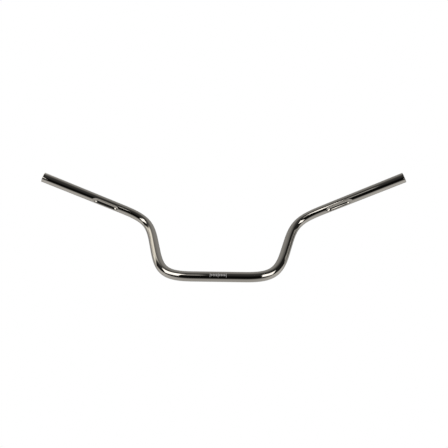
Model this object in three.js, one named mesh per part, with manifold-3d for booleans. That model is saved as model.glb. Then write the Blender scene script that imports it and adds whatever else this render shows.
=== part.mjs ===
// Motorcycle handlebar: one bent, chromed steel tube with a printed centring scale.
// Millimetres. +X to the rider's right, +Y forward, +Z the way the bar rises from its clamp.
// Origin: middle of the clamp section's underside, where the bar rests on the lower clamp half.
import * as THREE from 'three';
import { mergeVertices } from 'three/addons/utils/BufferGeometryUtils.js';
import Module from 'manifold-3d';

const wasm = await Module();
wasm.setup();

const rad = THREE.MathUtils.degToRad;

// --- Tube ---
const tubeDiameter = 25.4;
const wall = 2.6;
const endChamfer = 0.6;            // deburred outer edge of each cut end
const tubeFacets = 40;
const boreFacets = 24;

// --- Centreline, from the middle of the clamp section out to one end ---
const firstCornerX = 146.5;        // where the clamp and riser axes meet
const riserLean = rad(71.6);       // riser above horizontal, leaning outwards
const riserLength = 205;           // between the two axis corners
const gripSweep = rad(32.6);       // grip swept back towards the rider
const gripLength = 296.3;          // from the upper axis corner to the cut end
const bendReach = 81.8;            // bend start and end, measured from the axis corner
const bendEase = 0.824;            // how far each bend's control handle reaches to its corner
const ringsPerBend = 14;

// --- Cable groove pressed into each grip ---
const grooveNear = 134;            // outer end of the groove, from the tube's cut end
const grooveFar = 200.8;           // inner end of the groove
const grooveTurn = rad(23.3);      // facing between straight down (0) and the rider (90)
const grooveRadius = 5.9;
const grooveDepth = 5.1;
const shoulderRadius = 2.7;        // rounding between the groove and the tube's skin
const grooveNearRamp = 18.5;       // radius of the floor where it runs out, outboard
const grooveFarRamp = 18;          // and inboard

// --- Printed centring scale on the rider's side of the clamp section ---
const markHalfLength = 20;
const markPitch = 4;
const markLine = 0.8;
const markLong = 5;
const markShort = 3;
const markDip = rad(14);           // facing below the horizontal
const markThickness = 0.12;
const markGap = 0.03;

const tubeRadius = tubeDiameter / 2;
const boreRadius = tubeRadius - wall;
const axisHeight = tubeRadius * Math.cos(Math.PI / tubeFacets);
const cutOverrun = 2;

const riserDir = new THREE.Vector3(Math.cos(riserLean), 0, Math.sin(riserLean));
const gripDir = new THREE.Vector3(Math.cos(gripSweep), -Math.sin(gripSweep), 0);
const grooveDir = new THREE.Vector3(
  -Math.sin(gripSweep) * Math.sin(grooveTurn),
  -Math.cos(gripSweep) * Math.sin(grooveTurn),
  -Math.cos(grooveTurn),
);
const start = new THREE.Vector3(0, 0, axisHeight);
const lowerCorner = new THREE.Vector3(firstCornerX, 0, axisHeight);
const upperCorner = lowerCorner.clone().addScaledVector(riserDir, riserLength);
const gripEnd = upperCorner.clone().addScaledVector(gripDir, gripLength);

/** Curves joined end to end, each with its own number of rings when something is swept along. */
class SpanPath extends THREE.Curve {
  constructor(spans) {
    super();
    this.spans = spans;
    this.steps = spans.reduce((sum, [, rings]) => sum + rings, 0);
  }

  getPoint(t, target = new THREE.Vector3()) {
    let station = t * this.steps;
    for (const [curve, rings] of this.spans) {
      if (station <= rings) return target.copy(curve.getPoint(station / rings));
      station -= rings;
    }
    return target.copy(this.spans.at(-1)[0].getPoint(1));
  }

  // Rings sit at equal steps of the parameter rather than of the length.
  getUtoTmapping(u) {
    return u;
  }
}

/** A path in one plane; what is swept along it keeps its +X in that plane. */
class FlatPath extends SpanPath {
  constructor(spans, across) {
    super(spans);
    this.across = across;
  }

  computeFrenetFrames(segments) {
    const at = Array.from({ length: segments + 1 }, (_, i) => i / segments);
    const tangents = at.map((u) => this.getTangentAt(u));
    const binormals = tangents.map(() => this.across);
    const normals = tangents.map((t) => new THREE.Vector3().crossVectors(this.across, t));
    return { tangents, normals, binormals };
  }
}

function from(point, dir, distance) {
  return point.clone().addScaledVector(dir, distance);
}

/** An eased bend around a corner of the centreline. */
function bend(corner, before, after) {
  return new THREE.CubicBezierCurve3(
    from(corner, before, -bendReach),
    from(corner, before, -bendReach * (1 - bendEase)),
    from(corner, after, bendReach * (1 - bendEase)),
    from(corner, after, bendReach),
  );
}

/** The right half of the centreline; it can run on past the cut end. */
function centreline(overrun = 0) {
  const lower = bend(lowerCorner, new THREE.Vector3(1, 0, 0), riserDir);
  const upper = bend(upperCorner, riserDir, gripDir);
  return new SpanPath([
    [new THREE.LineCurve3(start, lower.v0), 1],
    [lower, ringsPerBend],
    [new THREE.LineCurve3(lower.v3, upper.v0), 1],
    [upper, ringsPerBend],
    [new THREE.LineCurve3(upper.v3, from(gripEnd, gripDir, overrun)), 1],
  ]);
}

/** A regular polygon with a flat, not a point, facing along its own +X. */
function ring(radius, facets) {
  const points = Array.from({ length: facets }, (_, i) => {
    const angle = (2 * Math.PI * (i + 0.5)) / facets;
    return new THREE.Vector2(radius * Math.cos(angle), radius * Math.sin(angle));
  });
  return new THREE.Shape(points);
}

function sweep(shape, path) {
  return new THREE.ExtrudeGeometry(shape, {
    steps: path.steps, extrudePath: path, bevelEnabled: false,
  });
}

function toManifold(geometry) {
  let bare = geometry.clone();
  bare.deleteAttribute('normal');
  bare.deleteAttribute('uv');
  bare = mergeVertices(bare);
  return new wasm.Manifold(new wasm.Mesh({
    numProp: 3,
    vertProperties: new Float32Array(bare.attributes.position.array),
    triVerts: new Uint32Array(bare.index.array),
  }));
}

function toGeometry(manifold) {
  const mesh = manifold.getMesh();
  const indexed = new THREE.BufferGeometry();
  indexed.setAttribute('position', new THREE.BufferAttribute(mesh.vertProperties, 3));
  indexed.setIndex(new THREE.BufferAttribute(mesh.triVerts, 1));
  const geometry = indexed.toNonIndexed();
  geometry.computeVertexNormals();
  return geometry;
}

/** The same body on the other side of the YZ plane. */
function mirrored(geometry) {
  const other = geometry.index ? geometry.toNonIndexed() : geometry.clone();
  other.scale(-1, 1, 1);
  const p = other.attributes.position;
  const a = new THREE.Vector3();
  const b = new THREE.Vector3();
  for (let i = 0; i < p.count; i += 3) {
    a.fromBufferAttribute(p, i + 1);
    b.fromBufferAttribute(p, i + 2);
    p.setXYZ(i + 1, b.x, b.y, b.z);
    p.setXYZ(i + 2, a.x, a.y, a.z);
  }
  return other;
}

function bothSides(geometry) {
  return toManifold(geometry).add(toManifold(mirrored(geometry)));
}

/** A point of the groove's middle plane: inwards from the cut end, outwards from the axis. */
function onGrip(inwards, outwards) {
  return from(from(gripEnd, gripDir, -inwards), grooveDir, outwards);
}

/** The groove's floor line, rising out of the metal at both ends. */
function floorPath() {
  const floor = tubeRadius - grooveDepth;
  const run = (ramp) => Math.sqrt(ramp ** 2 - (ramp - grooveDepth) ** 2);
  const near = grooveNear + run(grooveNearRamp);
  const far = grooveFar - run(grooveFarRamp);
  const quarter = (4 / 3) * Math.tan(Math.PI / 8);
  const rise = (at, side, ramp) => [
    onGrip(at, floor),
    onGrip(at + side * ramp * quarter, floor),
    onGrip(at + side * ramp, floor + ramp * (1 - quarter)),
    onGrip(at + side * ramp, floor + ramp),
  ];
  return new FlatPath([
    [new THREE.CubicBezierCurve3(...rise(far, 1, grooveFarRamp).reverse()), 8],
    [new THREE.LineCurve3(onGrip(far, floor), onGrip(near, floor)), 1],
    [new THREE.CubicBezierCurve3(...rise(near, -1, grooveNearRamp)), 8],
  ], new THREE.Vector3().crossVectors(gripDir, grooveDir));
}

function arc(centreX, radius, from, to, parts) {
  return Array.from({ length: parts + 1 }, (_, i) => {
    const angle = THREE.MathUtils.lerp(from, to, i / parts);
    return [centreX + radius * Math.cos(angle), radius * Math.sin(angle)];
  });
}

/** Mirrors a half outline, given from the middle outwards, and closes it above the tube. */
function closedForm(half) {
  const open = grooveRadius + 0.8;
  const side = [...half, [open, half.at(-1)[1]]];
  const outline = [...side.slice().reverse().map(([x, y]) => [x, -y]), ...side.slice(1)];
  return new THREE.Shape(outline.map(([x, y]) => new THREE.Vector2(x, y)));
}

/** What the press takes from the skin: the groove and its rounded shoulders. +X is outwards. */
function skinForm() {
  const axisToGroove = tubeRadius - grooveDepth + grooveRadius;
  const toShoulder = tubeRadius - shoulderRadius;
  const apart = grooveRadius + shoulderRadius;
  const spread = Math.acos(
    (toShoulder ** 2 + axisToGroove ** 2 - apart ** 2) / (2 * toShoulder * axisToGroove),
  );
  const lift = toShoulder * Math.cos(spread) - (tubeRadius - grooveDepth);
  const aside = toShoulder * Math.sin(spread);
  const wallTurn = Math.asin(aside / apart);
  const floor = arc(grooveRadius, grooveRadius, Math.PI, Math.PI - wallTurn, 4);
  const shoulder = arc(lift, shoulderRadius, -wallTurn, spread, 5)
    .map(([x, y]) => [x, y + aside]);
  return closedForm([...floor, ...shoulder.slice(1)]);
}

/** What the pressed metal takes from the bore. */
function boreForm() {
  const radius = grooveRadius + wall;
  return closedForm(arc(grooveRadius, radius, Math.PI, Math.PI / 2, 6));
}

/** A ring that takes the sharp outer edge off a cut end. */
function endDeburr(path) {
  const e = 0.5;
  const profile = [
    new THREE.Vector2(tubeRadius - endChamfer - e, e),
    new THREE.Vector2(tubeRadius + e, -endChamfer - e),
    new THREE.Vector2(tubeRadius + e, e),
    new THREE.Vector2(tubeRadius - endChamfer - e, e),
  ];
  const cutter = new THREE.LatheGeometry(profile, tubeFacets, Math.PI / tubeFacets);
  const { normals, binormals } = path.computeFrenetFrames(path.steps, false);
  const placed = new THREE.Matrix4().makeBasis(binormals.at(-1), gripDir, normals.at(-1));
  placed.setPosition(gripEnd);
  return cutter.applyMatrix4(placed);
}

function barTube() {
  const outside = centreline();
  const skin = bothSides(sweep(ring(tubeRadius, tubeFacets), outside))
    .subtract(bothSides(sweep(skinForm(), floorPath())))
    .subtract(bothSides(endDeburr(outside)));
  // The pressed metal keeps its thickness, so each groove stands proud inside the bore.
  const bore = bothSides(sweep(ring(boreRadius, boreFacets), centreline(cutOverrun)))
    .subtract(bothSides(sweep(boreForm(), floorPath())));
  return toGeometry(skin.subtract(bore));
}

/** The scale laid out flat: a base line with strokes above and below it. */
function scaleOutline() {
  const count = markHalfLength / markPitch;
  const half = markLine / 2;
  const outline = [];
  for (const side of [1, -1]) {
    for (let i = -count; i <= count; i++) {
      const x = side * i * markPitch;
      const reach = side * (i % count === 0 ? markLong : markShort);
      outline.push(
        new THREE.Vector2(x - side * half, side * half),
        new THREE.Vector2(x - side * half, reach),
        new THREE.Vector2(x + side * half, reach),
        new THREE.Vector2(x + side * half, side * half),
      );
    }
  }
  return new THREE.Shape(outline);
}

/** The strokes cut out of a thin sleeve, so the print follows the tube. */
function centreMark() {
  const sleeveShape = ring(tubeRadius + markGap + markThickness, tubeFacets);
  sleeveShape.holes.push(ring(tubeRadius + markGap, tubeFacets));
  const length = 2 * markHalfLength + 4 * markLine;
  const sleeve = new THREE.ExtrudeGeometry(sleeveShape, { depth: length, bevelEnabled: false });
  sleeve.rotateY(Math.PI / 2);
  sleeve.translate(-length / 2, 0, axisHeight);
  const strokes = new THREE.ExtrudeGeometry(scaleOutline(), {
    depth: tubeDiameter, bevelEnabled: false,
  });
  strokes.rotateX(Math.PI / 2 + markDip);
  strokes.translate(0, 0, axisHeight);
  return toGeometry(toManifold(sleeve).intersect(toManifold(strokes)));
}

function part(name, geometry, look) {
  const mesh = new THREE.Mesh(geometry, new THREE.MeshStandardMaterial(look));
  mesh.name = name;
  return mesh;
}

const handlebar = new THREE.Group();
handlebar.name = 'handlebar';
handlebar.add(
  part('bar_tube', barTube(), { color: 0xc4c2be, roughness: 0.08, metalness: 1 }),
  part('centre_mark', centreMark(), { color: 0xbfbeba, roughness: 0.6, metalness: 0 }),
);

export default handlebar;
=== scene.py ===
"""Looks of the chromed handlebar: a fine tube mesh, its printed scale, studio and camera."""

import math

import bpy
import numpy as np
from mathutils import Matrix, Vector


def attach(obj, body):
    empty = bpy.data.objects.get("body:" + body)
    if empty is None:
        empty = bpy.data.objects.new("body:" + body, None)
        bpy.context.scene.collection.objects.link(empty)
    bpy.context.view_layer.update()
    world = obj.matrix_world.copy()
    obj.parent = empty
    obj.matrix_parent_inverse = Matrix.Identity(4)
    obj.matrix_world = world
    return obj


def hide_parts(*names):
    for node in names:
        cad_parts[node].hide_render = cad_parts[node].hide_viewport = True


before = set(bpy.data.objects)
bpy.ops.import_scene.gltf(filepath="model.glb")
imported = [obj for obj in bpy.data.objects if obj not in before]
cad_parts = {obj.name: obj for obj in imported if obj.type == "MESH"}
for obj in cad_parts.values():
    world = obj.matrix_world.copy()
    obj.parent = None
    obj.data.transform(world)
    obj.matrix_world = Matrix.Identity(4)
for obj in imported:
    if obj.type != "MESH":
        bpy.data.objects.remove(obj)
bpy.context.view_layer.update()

MM = 0.001

# --- The bar, in millimetres, as the CAD part has it ---
TUBE_R = 12.7
WALL = 2.6
AXIS_HEIGHT = 12.66
FIRST_CORNER_X = 146.5
RISER_LEAN = math.radians(71.6)
RISER_LENGTH = 205
GRIP_SWEEP = math.radians(32.6)
GRIP_LENGTH = 296.3
BEND_REACH = 81.8
BEND_EASE = 0.824
GROOVE_NEAR, GROOVE_FAR = 134, 200.8
GROOVE_TURN = math.radians(23.3)  # facing between straight down (0) and the rider (90)
GROOVE_R = 5.9
GROOVE_DEPTH = 5.1
NEAR_RAMP, FAR_RAMP = 18.5, 18    # radius of the floor where it runs out
RIM_ROUND = 2.7                # rounded shoulder of the pressed groove
END_ROUND = 0.7                # rounding of the cut end's outer edge
BORE_ROUND = 0.3

# --- The printed scale ---
MARK_HALF = 20
MARK_PITCH = 4
MARK_LINE = 0.8
MARK_LONG, MARK_SHORT = 5, 3
MARK_DIP = math.radians(14)

# --- Mesh fineness ---
AROUND = 128                   # points round the tube
BEND_STEPS = 56
FIRST_CROWDING = 0.45          # 1 spaces the points evenly, less crowds them at the groove
GROOVE_STEP = 0.7
TIP_STEPS = 11                 # rings between the groove and the cut end
CLAMP_STEPS = 7                # rings from the middle to the first bend
EDGE_STEPS, BORE_EDGE_STEPS = 6, 4
BORE_MARKS = (4, 12, 30, 60, 95)   # rings inside the bore, in from the cut end
RELAX_ROUNDS = 160             # rounds that even out the spacing of points in the groove
RELAX_SHARE = 0.6
RELAX_REACH = 1.2              # radians either side of the groove's facing
PRESS_ROUNDS = 60
PRINT_STEP = 0.4               # length of each facet of a stroke that goes round the tube
PRINT_LOW, PRINT_HIGH = 0.005, 0.06    # the print's under and upper side, off the tube

RISER = np.array([math.cos(RISER_LEAN), 0, math.sin(RISER_LEAN)])
GRIP = np.array([math.cos(GRIP_SWEEP), -math.sin(GRIP_SWEEP), 0])
ACROSS = np.array([1.0, 0, 0])
GROOVE_FACING = (math.cos(GROOVE_TURN) * np.array([0, 0, -1.0]) - math.sin(GROOVE_TURN)
                 * np.array([math.sin(GRIP_SWEEP), math.cos(GRIP_SWEEP), 0]))
LOWER_CORNER = np.array([FIRST_CORNER_X, 0, AXIS_HEIGHT])
UPPER_CORNER = LOWER_CORNER + RISER_LENGTH * RISER
TIP = UPPER_CORNER + GRIP_LENGTH * GRIP


# ---------------------------------------------------------------- geometry

def bend(corner, before, after, steps):
    """Points and directions along one eased bend of the centreline."""
    reach, short = BEND_REACH, BEND_REACH * (1 - BEND_EASE)
    p = [corner - before * reach, corner - before * short,
         corner + after * short, corner + after * reach]
    u = np.linspace(0, 1, steps + 1)[:, None]
    points = ((1 - u) ** 3 * p[0] + 3 * (1 - u) ** 2 * u * p[1]
              + 3 * (1 - u) * u ** 2 * p[2] + u ** 3 * p[3])
    along = ((1 - u) ** 2 * (p[1] - p[0]) + 2 * (1 - u) * u * (p[2] - p[1])
             + u ** 2 * (p[3] - p[2]))
    return points, along / np.linalg.norm(along, axis=1, keepdims=True)


def half_centreline(bend_steps, grip_marks):
    """Stations from the middle to one end; grip_marks are distances in from the cut end."""
    points, along = [], []
    for x in np.linspace(0, FIRST_CORNER_X - BEND_REACH, CLAMP_STEPS)[:-1]:
        points.append([x, 0, AXIS_HEIGHT])
        along.append(ACROSS)
    for corner, before, after in ((LOWER_CORNER, ACROSS, RISER), (UPPER_CORNER, RISER, GRIP)):
        p, t = bend(corner, before, after, bend_steps)
        points.extend(p)
        along.extend(t)
    for mark in grip_marks:
        points.append(TIP - GRIP * mark)
        along.append(GRIP)
    return np.array(points), np.array(along)


def carried_normals(along):
    """Normals that face as the groove does on the grip and follow the tube without twisting."""
    normals = np.zeros_like(along)
    normals[-1] = GROOVE_FACING
    for i in range(len(along) - 2, -1, -1):
        n = normals[i + 1]
        n = n - along[i] * (n @ along[i])
        normals[i] = n / np.linalg.norm(n)
    return normals


def around():
    """Angles round the tube from the groove's facing, closer together near it."""
    half = AROUND // 2
    u = np.arange(half + 1) / half
    angle = math.pi * (FIRST_CROWDING * u + (1 - FIRST_CROWDING) * u ** 2)
    return np.concatenate([angle[:-1], 2 * math.pi - angle[:0:-1]])


def groove_gap(p, radius):
    """Distance from the pressed form; p is inwards from the end, sideways, outwards."""
    a, w, d = p[..., 0], p[..., 1], p[..., 2]
    centre = TUBE_R - GROOVE_DEPTH + GROOVE_R
    in_plane = np.abs(d - centre)
    for end, side, ramp in ((GROOVE_NEAR, 1, NEAR_RAMP), (GROOVE_FAR, -1, FAR_RAMP)):
        bent_from = end + side * ramp * math.sin(math.acos(1 - GROOVE_DEPTH / ramp))
        arc = ramp - GROOVE_R
        curved = np.abs(np.hypot(a - bent_from, d - centre - arc) - arc)
        in_plane = np.where((bent_from - a) * side > 0, curved, in_plane)
    return np.hypot(in_plane, w) - radius


def skin(p):
    """Signed distance from the dented tube's outer skin, with its rim rounded over."""
    tube = np.hypot(p[..., 1], p[..., 2]) - TUBE_R
    cut = -groove_gap(p, GROOVE_R)
    rounded = np.hypot(np.maximum(tube + RIM_ROUND, 0), np.maximum(cut + RIM_ROUND, 0))
    return np.minimum(-RIM_ROUND, np.maximum(tube, cut)) + rounded


def slope_of(surface, p, step=0.02):
    """Gradient of a signed distance."""
    rise = [surface(p + step * e) - surface(p - step * e) for e in np.eye(3)]
    return np.stack(rise, -1) / (2 * step)


def onto(p, surface, rounds=2):
    """Moves points onto a surface given by its signed distance."""
    for _ in range(rounds):
        slope = slope_of(surface, p)
        p = p - (surface(p) / np.maximum((slope ** 2).sum(-1), 0.05))[..., None] * slope
    return p


def press(p, radius):
    """Pushes points up out of the pressed form."""
    for _ in range(PRESS_ROUNDS):
        p[..., 2] -= np.maximum(-groove_gap(p, radius), 0)
    return p


def grip_rings(marks, radius, groove_radius, relax):
    """Rings on a grip, as inwards, sideways and outwards, with the groove pressed in."""
    angle = around()
    rings = np.empty((len(marks), AROUND, 3))
    rings[..., 0] = np.array(marks)[:, None]
    rings[..., 1] = radius * np.sin(angle)
    rings[..., 2] = radius * np.cos(angle)
    rings = press(rings, groove_radius)
    near = np.abs(np.angle(np.exp(1j * angle))) < RELAX_REACH
    for _ in range(RELAX_ROUNDS if relax else 0):
        mean = (rings[2:] + rings[:-2] + np.roll(rings, 1, 1)[1:-1]
                + np.roll(rings, -1, 1)[1:-1]) / 4
        moved = rings[1:-1] + RELAX_SHARE * (mean - rings[1:-1]) * near[None, :, None]
        rings[1:-1] = onto(moved, skin, 1)
    return onto(rings, skin, 4) if relax else rings


def grip_turn(v):
    """Turns directions given as inwards, sideways and outwards into the row's axes."""
    side = np.cross(GRIP, GROOVE_FACING)
    return -GRIP * v[..., :1] + side * v[..., 1:2] + GROOVE_FACING * v[..., 2:3]


def grip_to_row(p):
    """Moves points given as inwards, sideways and outwards into the row's frame."""
    return TIP + grip_turn(p)


def half_rings():
    """Rings of the right half: out along the skin, over the cut end, back along the bore.

    Every ring has its exact normals, or NaN where the mesh's own will do. The last value is
    the number of the first ring inside the bore.
    """
    bend_end = GRIP_LENGTH - BEND_REACH
    dense_from, dense_to = GROOVE_FAR + 10, GROOVE_NEAR - 12
    dense = np.arange(dense_from, dense_to, -GROOVE_STEP)
    sparse = np.linspace(dense_to, 2, TIP_STEPS)
    angle = around()
    ring_shape = np.stack([np.sin(angle), np.cos(angle)], 1)

    def plain(points, along, radius):
        n = carried_normals(along)
        b = np.cross(along, n)
        out = np.cos(angle)[:, None] * n[:, None] + np.sin(angle)[:, None] * b[:, None]
        return list(zip(points[:, None] + radius * out, out))

    def tip_ring(inwards, radius, tilt=0.0):
        local = np.empty((AROUND, 3))
        local[:, 0] = inwards
        local[:, 1:] = radius * ring_shape
        out = np.empty((AROUND, 3))
        out[:, 0] = -math.sin(tilt)
        out[:, 1:] = math.cos(tilt) * ring_shape
        return grip_to_row(local), grip_turn(out)

    def grooved(marks):
        local = grip_rings(marks, TUBE_R, GROOVE_R, True)
        out = slope_of(skin, local)
        return list(zip(grip_to_row(local),
                        grip_turn(out / np.linalg.norm(out, axis=-1, keepdims=True))))

    def inside(rings):
        return [(ring, np.full((AROUND, 3), np.nan)) for ring in rings]

    points, along = half_centreline(BEND_STEPS, [dense_from + 0.01])
    rings = plain(points, along, TUBE_R) + grooved(dense)
    rings += [tip_ring(a, TUBE_R) for a in sparse]
    for turn in np.linspace(0, math.pi / 2, EDGE_STEPS):
        rings.append(tip_ring(END_ROUND * (1 - math.sin(turn)),
                              TUBE_R - END_ROUND * (1 - math.cos(turn)), turn))
    bore = TUBE_R - WALL
    for turn in np.linspace(0, math.pi / 2, BORE_EDGE_STEPS):
        rings.append(tip_ring(BORE_ROUND * (1 - math.cos(turn)),
                              bore + BORE_ROUND * (1 - math.sin(turn)),
                              math.pi / 2 + turn))
    bore_from = len(rings)
    rings += inside(tip_ring(a, bore)[0] for a in (*BORE_MARKS, dense_to))
    rings += inside(grip_to_row(grip_rings(dense[::-3], bore, GROOVE_R + WALL, False)))
    points, along = half_centreline(BEND_STEPS // 3, [bend_end - 2])
    rings += inside(ring for ring, _ in plain(points, along, bore)[::-1])
    return np.array([r for r, _ in rings]), np.array([n for _, n in rings]), bore_from


def bar_mesh():
    """The whole tube as one closed skin: the two halves meet at the middle ring."""
    right, facing, bore_from = half_rings()
    other_side = np.array([-1, 1, 1])
    rings = np.concatenate([right, right[1:-1][::-1] * other_side])
    facing = np.concatenate([facing, facing[1:-1][::-1] * other_side]).reshape(-1, 3)
    count = len(rings)
    verts = (rings.reshape(-1, 3) * MM).tolist()
    faces, in_bore = [], []
    for i in range(count):
        j = (i + 1) % count
        is_bore = bore_from <= i < count - bore_from + 1
        for k in range(AROUND):
            m = (k + 1) % AROUND
            faces.append((i * AROUND + k, i * AROUND + m, j * AROUND + m, j * AROUND + k))
            in_bore.append(is_bore)
    mesh = bpy.data.meshes.new("bar_tube_finish")
    mesh.from_pydata(verts, [], faces)
    mesh.polygons.foreach_set("use_smooth", [True] * len(faces))
    mesh.polygons.foreach_set("material_index", [int(b) for b in in_bore])
    mesh.update()
    own = np.empty(len(verts) * 3, dtype=np.float32)
    mesh.vertex_normals.foreach_get("vector", own)
    facing = np.where(np.isnan(facing), own.reshape(-1, 3), facing)
    mesh.normals_split_custom_set_from_vertices(facing.tolist())
    return mesh


def stroke(x0, x1, y0, y1, verts, faces):
    """One printed stroke, wrapped round the tube; y runs up the tube's surface."""
    steps = max(1, round(abs(y1 - y0) / PRINT_STEP))
    low, high = TUBE_R + PRINT_LOW, TUBE_R + PRINT_HIGH
    base = len(verts)
    for s in range(steps + 1):
        turn = (y0 + (y1 - y0) * s / steps) / TUBE_R - MARK_DIP
        for x, r in ((x0, high), (x1, high), (x1, low), (x0, low)):
            verts.append((x * MM, -r * math.cos(turn) * MM,
                          (AXIS_HEIGHT + r * math.sin(turn)) * MM))
    for s in range(steps):
        a, b = base + 4 * s, base + 4 * (s + 1)
        for k in range(4):
            m = (k + 1) % 4
            faces.append((a + k, a + m, b + m, b + k))
    faces.append(tuple(base + k for k in (3, 2, 1, 0)))
    faces.append(tuple(base + 4 * steps + k for k in (0, 1, 2, 3)))


def mark_mesh():
    """A centring scale: one long line across short ticks, longer in the middle and at the ends."""
    verts, faces = [], []
    half = MARK_LINE / 2
    stroke(-MARK_HALF - half, MARK_HALF + half, -half, half, verts, faces)
    count = MARK_HALF // MARK_PITCH
    for i in range(-count, count + 1):
        x = i * MARK_PITCH
        reach = MARK_LONG if i % count == 0 else MARK_SHORT
        stroke(x - half, x + half, half, reach, verts, faces)
        stroke(x - half, x + half, -reach, -half, verts, faces)
    mesh = bpy.data.meshes.new("centre_mark_print")
    mesh.from_pydata(verts, [], faces)
    mesh.update()
    return mesh


def add(name, mesh, *materials):
    """Puts a mesh in the scene with its materials."""
    obj = bpy.data.objects.new(name, mesh)
    bpy.context.scene.collection.objects.link(obj)
    for material in materials:
        mesh.materials.append(material)
    return obj


# ---------------------------------------------------------------- materials

class Nodes:
    """Small helper for building node trees."""

    def __init__(self, tree):
        self.tree = tree
        tree.nodes.clear()

    def new(self, kind, values=None, **settings):
        node = self.tree.nodes.new(kind)
        for key, value in settings.items():
            setattr(node, key, value)
        for key, value in (values or {}).items():
            if isinstance(value, bpy.types.NodeSocket):
                self.tree.links.new(value, node.inputs[key])
            else:
                node.inputs[key].default_value = value
        return node


def material(name):
    """An empty node material and the helper that fills it."""
    m = bpy.data.materials.new(name)
    m.use_nodes = True
    return m, Nodes(m.node_tree)


def chrome():
    """Polished plate: faint buffing haze and the slightest waviness."""
    m, n = material("polished_chrome")
    where = n.new("ShaderNodeTexCoord").outputs["Object"]
    haze = n.new("ShaderNodeTexNoise", {"Vector": where, "Scale": 26, "Detail": 4})
    rough = n.new("ShaderNodeMapRange", {"Value": haze.outputs["Fac"], "From Min": 0.3,
                                         "From Max": 0.75, "To Min": 0.02, "To Max": 0.06})
    tone = n.new("ShaderNodeTexNoise", {"Vector": where, "Scale": 9, "Detail": 2})
    colour = n.new("ShaderNodeMix", {"Factor": tone.outputs["Fac"],
                                     "A": (0.60, 0.565, 0.505, 1), "B": (0.66, 0.62, 0.56, 1)},
                   data_type="RGBA")
    wave = n.new("ShaderNodeTexNoise", {"Vector": where, "Scale": 60, "Detail": 2})
    bump = n.new("ShaderNodeBump", {"Height": wave.outputs["Fac"], "Strength": 0.02,
                                    "Distance": 0.001})
    shader = n.new("ShaderNodeBsdfPrincipled",
                   {"Base Color": colour.outputs["Result"], "Metallic": 1.0,
                    "Roughness": rough.outputs["Result"], "Normal": bump.outputs["Normal"]})
    n.new("ShaderNodeOutputMaterial", {"Surface": shader.outputs["BSDF"]})
    return m


def bare_bore():
    """The unplated inside of the tube: dull drawn steel with a little rust bloom."""
    m, n = material("drawn_steel_bore")
    where = n.new("ShaderNodeTexCoord").outputs["Object"]
    bloom = n.new("ShaderNodeTexNoise", {"Vector": where, "Scale": 120, "Detail": 6})
    colour = n.new("ShaderNodeMix", {"Factor": bloom.outputs["Fac"],
                                     "A": (0.10, 0.095, 0.09, 1), "B": (0.20, 0.16, 0.13, 1)},
                   data_type="RGBA")
    bump = n.new("ShaderNodeBump", {"Height": bloom.outputs["Fac"], "Strength": 0.3,
                                    "Distance": 0.0005})
    shader = n.new("ShaderNodeBsdfPrincipled",
                   {"Base Color": colour.outputs["Result"], "Metallic": 0.8,
                    "Roughness": 0.55, "Normal": bump.outputs["Normal"]})
    n.new("ShaderNodeOutputMaterial", {"Surface": shader.outputs["BSDF"]})
    return m


def print_ink():
    """Light-grey screen print, a little patchy where it has worn."""
    m, n = material("mark_ink")
    where = n.new("ShaderNodeTexCoord").outputs["Object"]
    wear = n.new("ShaderNodeTexNoise", {"Vector": where, "Scale": 700, "Detail": 3})
    colour = n.new("ShaderNodeMix", {"Factor": wear.outputs["Fac"],
                                     "A": (0.36, 0.35, 0.34, 1), "B": (0.62, 0.61, 0.60, 1)},
                   data_type="RGBA")
    shader = n.new("ShaderNodeBsdfPrincipled",
                   {"Base Color": colour.outputs["Result"], "Roughness": 0.55})
    n.new("ShaderNodeOutputMaterial", {"Surface": shader.outputs["BSDF"]})
    return m


# ---------------------------------------------------------------- the object

for piece, node, slot in (
    (add("bar_tube_finish", bar_mesh(), chrome(), bare_bore()), "bar_tube", "chromed_steel"),
    (add("centre_mark_print", mark_mesh(), print_ink()), "centre_mark", "mark_ink"),
):
    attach(piece, "root")
    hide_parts(node)

# ---------------------------------------------------------------- camera

CAMERA_AT = (49.8, -698.5, -459.7)
CAMERA_RISE = math.radians(43.03)
CAMERA_TURN = math.radians(3.45)
CAMERA_ROLL = math.radians(2.76)
SENSOR_WIDTH, LENS = 36, 26.8   # millimetres

camera = bpy.data.objects.new("camera", bpy.data.cameras.new("camera"))
bpy.context.scene.collection.objects.link(camera)
bpy.context.scene.camera = camera
camera.data.sensor_width = SENSOR_WIDTH
camera.data.lens = LENS
camera.data.clip_start = 0.01
camera.matrix_world = (
    Matrix.Translation(Vector(CAMERA_AT) * MM)
    @ Matrix.Rotation(CAMERA_TURN, 4, "Z")
    @ Matrix.Rotation(math.pi / 2 + CAMERA_RISE, 4, "X")
    @ Matrix.Rotation(CAMERA_ROLL, 4, "Z")
)
view_right, view_up, view_back = (
    Vector(camera.matrix_world.col[i][:3]) for i in range(3)
)

# ---------------------------------------------------------------- studio

FLOOR_DROP = 1.0
FLOOR_HALF = 6.0
FLOOR_FADE = (1.3, 5.0)         # metres out over which the floor turns white
ROOM_CENTRE = Vector((0, -0.07, 0.1))
ROOM_RADIUS = 0.9
CAMERA_LEVEL, MATT_LEVEL = 1.0, 0.8     # the world as the camera and as matt things see it
BOX_AWAY = 0.7                 # metres from the row's origin to the softboxes

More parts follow.
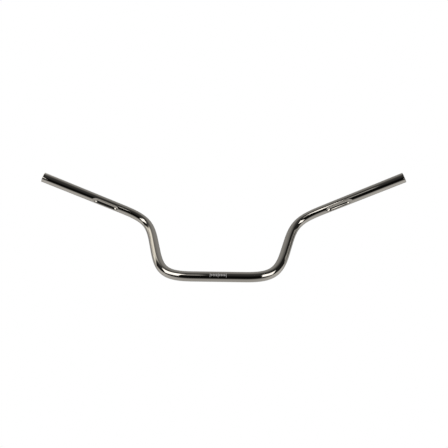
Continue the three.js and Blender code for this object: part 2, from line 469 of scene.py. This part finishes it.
# The tent of paper and cloth round the bar, as brightness at each angle in degrees turning up
# from the camera (0) to the backdrop (180) and down from it (-180).
TENT = (
    (-180, 0.30), (-150, 0.34), (-130, 0.44), (-100, 0.46), (-75, 0.46), (-56, 0.42), (-49, 0.30),
    (-41, 0.03), (-30, 0.010), (-14, 0.003), (0, 0.003), (14, 0.012), (36, 0.040), (55, 0.048),
    (72, 0.065), (84, 0.16), (95, 0.26), (106, 0.31), (120, 0.33), (140, 0.33), (160, 0.32),
    (180, 0.28),
)
FLOOR_TURN = (10, -20)         # degrees over which the tent passes from wall to floor
FLOOR_LIFT = 22                # degrees the tent's floor edge climbs towards either side
FLOOR_GAIN = 0.45              # how much brighter the floor gets towards either side

# Patches hung on the tent: a colour, then the (start, end) pairs over which each of its edges
# fades in, first across the view in shares of the radius, then turned in degrees.
PATCHES = (
    ((0.018, 0.018, 0.018), [(0.36, 0.54)], [(-12, 6), (104, 94)]),        # dark cloth, right
    ((0.05, 0.05, 0.05), [(0.78, 0.90)], [(104, 118), (172, 152)]),        # shadow behind it
    ((0.42, 0.42, 0.41), [(0.82, 0.88)], [(66, 74), (118, 106)]),          # bright gap beside it
    ((0.018, 0.018, 0.018), [(-0.70, -0.82)], [(15, 35), (72, 60)]),       # dark gap, left
    ((1.15, 1.13, 1.06), [(-0.42, -0.56)], [(70, 84), (145, 98)]),         # pale card, left
    ((0.7, 0.7, 0.69), [(-0.48, -0.44), (-0.15, -0.22)], [(27, 33), (45, 39)]),  # strip light
    ((1.7, 1.7, 1.68), [(0.28, 0.33), (0.44, 0.40)], [(18, 21), (27, 24)]),      # and its twin
)


def studio_world():
    """White for the camera, plain light for anything matt."""
    world = bpy.data.worlds.new("studio")
    bpy.context.scene.world = world
    world.use_nodes = True
    n = Nodes(world.node_tree)
    seen = n.new("ShaderNodeLightPath").outputs["Is Camera Ray"]
    level = n.new("ShaderNodeMapRange", {"Value": seen, "To Min": MATT_LEVEL,
                                         "To Max": CAMERA_LEVEL})
    shader = n.new("ShaderNodeBackground", {"Color": (1, 1, 1, 1),
                                            "Strength": level.outputs["Result"]})
    n.new("ShaderNodeOutputWorld", {"Surface": shader.outputs["Background"]})


def tent():
    """The shell of surroundings that only the chrome reflects."""
    m, n = material("tent")

    def maths(operation, *values):
        return n.new("ShaderNodeMath", dict(enumerate(values)), operation=operation).outputs[0]

    def edge(value, start, end):
        node = n.new("ShaderNodeMapRange", {"Value": value, "From Min": start, "From Max": end},
                     interpolation_type="SMOOTHSTEP")
        return node.outputs["Result"]

    def mix(share, a, b):
        return n.new("ShaderNodeMix", {"Factor": share, "A": a, "B": b},
                     data_type="RGBA").outputs["Result"]

    place = n.new("ShaderNodeNewGeometry").outputs["Position"]
    outward = n.new("ShaderNodeVectorMath", {0: place, 1: tuple(ROOM_CENTRE)},
                    operation="SUBTRACT").outputs["Vector"]
    direction = n.new("ShaderNodeVectorMath", {0: outward}, operation="NORMALIZE")

    def along(axis):
        return n.new("ShaderNodeVectorMath", {0: direction.outputs["Vector"], 1: tuple(axis)},
                     operation="DOT_PRODUCT").outputs["Value"]

    sideways = along(view_right)
    aside = maths("MULTIPLY", sideways, sideways)
    turned = maths("MULTIPLY", maths("ARCTAN2", along(view_up), along(view_back)),
                   180 / math.pi)
    below = edge(turned, *FLOOR_TURN)
    lifted = maths("SUBTRACT", turned, maths("MULTIPLY", maths("MULTIPLY", aside, below),
                                             FLOOR_LIFT))
    ramp = n.new("ShaderNodeValToRGB", {"Fac": maths("MULTIPLY_ADD", lifted, 1 / 360, 0.5)})
    stops = ramp.color_ramp.elements
    while len(stops) > 1:
        stops.remove(stops[-1])
    for i, (degrees, level) in enumerate(TENT):
        spot = degrees / 360 + 0.5
        stop = stops[0] if i == 0 else stops.new(spot)
        stop.position = spot
        stop.color = (level, level, level, 1)
    gain = maths("MULTIPLY_ADD", maths("MULTIPLY", aside, below), FLOOR_GAIN, 1.0)
    colour = n.new("ShaderNodeVectorMath", {0: ramp.outputs["Color"], "Scale": gain},
                   operation="SCALE").outputs["Vector"]

    for tone, across, turns in PATCHES:
        share = 1.0
        for value, edges in ((sideways, across), (turned, turns)):
            for start, end in edges:
                share = maths("MULTIPLY", share, edge(value, start, end))
        colour = mix(share, colour, (*tone, 1))
    shader = n.new("ShaderNodeEmission", {"Color": colour})
    n.new("ShaderNodeOutputMaterial", {"Surface": shader.outputs["Emission"]})
    m.cycles.emission_sampling = "NONE"

    bpy.ops.mesh.primitive_uv_sphere_add(segments=96, ring_count=48, radius=ROOM_RADIUS,
                                         location=ROOM_CENTRE)
    shell = bpy.context.object
    shell.name = "tent"
    shell.data.materials.append(m)
    for ray in ("camera", "diffuse", "transmission", "volume_scatter", "shadow"):
        setattr(shell, "visible_" + ray, False)


def softbox(name, facing, left, right, low, high, strength):
    """A soft light square to the direction it hangs in, its edges given in metres.

    The direction is given in the camera's axes: to the right, up and back.
    """
    light = bpy.data.lights.new(name, "AREA")
    light.shape = "RECTANGLE"
    light.size, light.size_y = right - left, high - low
    light.energy = strength * light.size * light.size_y * math.pi
    obj = bpy.data.objects.new(name, light)
    bpy.context.scene.collection.objects.link(obj)
    across, up, back = facing
    towards = (view_right * across + view_up * up + view_back * back).normalized()
    side = view_up.cross(towards).normalized()
    rise = towards.cross(side)
    place = towards * BOX_AWAY + side * (left + right) / 2 + rise * (low + high) / 2
    obj.matrix_world = Matrix.Translation(place) @ Matrix(
        (side, rise, towards)).transposed().to_4x4()
    obj.visible_camera = False


studio_world()
tent()
softbox("softbox_left", (-0.695, 0.41, 1), -0.27, 0.08, -0.125, 0.43, 1.8)
softbox("softbox_right", (0.66, 0.18, 1), -0.125, 0.212, -0.14, 0.33, 1.8)


def pale_floor():
    """Plain floor, faintly mottled, that fades into the white surroundings."""
    floor_mesh = bpy.data.meshes.new("floor")
    floor_mesh.from_pydata([(x * FLOOR_HALF, y * FLOOR_HALF, -FLOOR_DROP) for x, y in
                            ((-1, -1), (1, -1), (1, 1), (-1, 1))], [], [(0, 1, 2, 3)])
    m, n = material("pale_floor")
    place = n.new("ShaderNodeNewGeometry").outputs["Position"]
    grain = n.new("ShaderNodeTexNoise", {"Vector": place, "Scale": 40, "Detail": 3})
    shade = n.new("ShaderNodeMix", {"Factor": grain.outputs["Fac"], "A": (0.88, 0.88, 0.87, 1),
                                    "B": (0.93, 0.93, 0.92, 1)}, data_type="RGBA")
    near = n.new("ShaderNodeBsdfDiffuse", {"Color": shade.outputs["Result"]})
    far = n.new("ShaderNodeEmission", {"Color": (1, 1, 1, 1)})
    distance = n.new("ShaderNodeVectorMath", {0: place}, operation="LENGTH")
    fade = n.new("ShaderNodeMapRange", {"Value": distance.outputs["Value"],
                                        "From Min": FLOOR_FADE[0], "From Max": FLOOR_FADE[1]},
                 interpolation_type="SMOOTHSTEP")
    blend = n.new("ShaderNodeMixShader", {0: fade.outputs["Result"], 1: near.outputs["BSDF"],
                                          2: far.outputs["Emission"]})
    n.new("ShaderNodeOutputMaterial", {"Surface": blend.outputs["Shader"]})
    m.cycles.emission_sampling = "NONE"
    floor = add("floor", floor_mesh, m)
    floor.visible_glossy = False


pale_floor()

bpy.context.scene.view_settings.view_transform = "Standard"
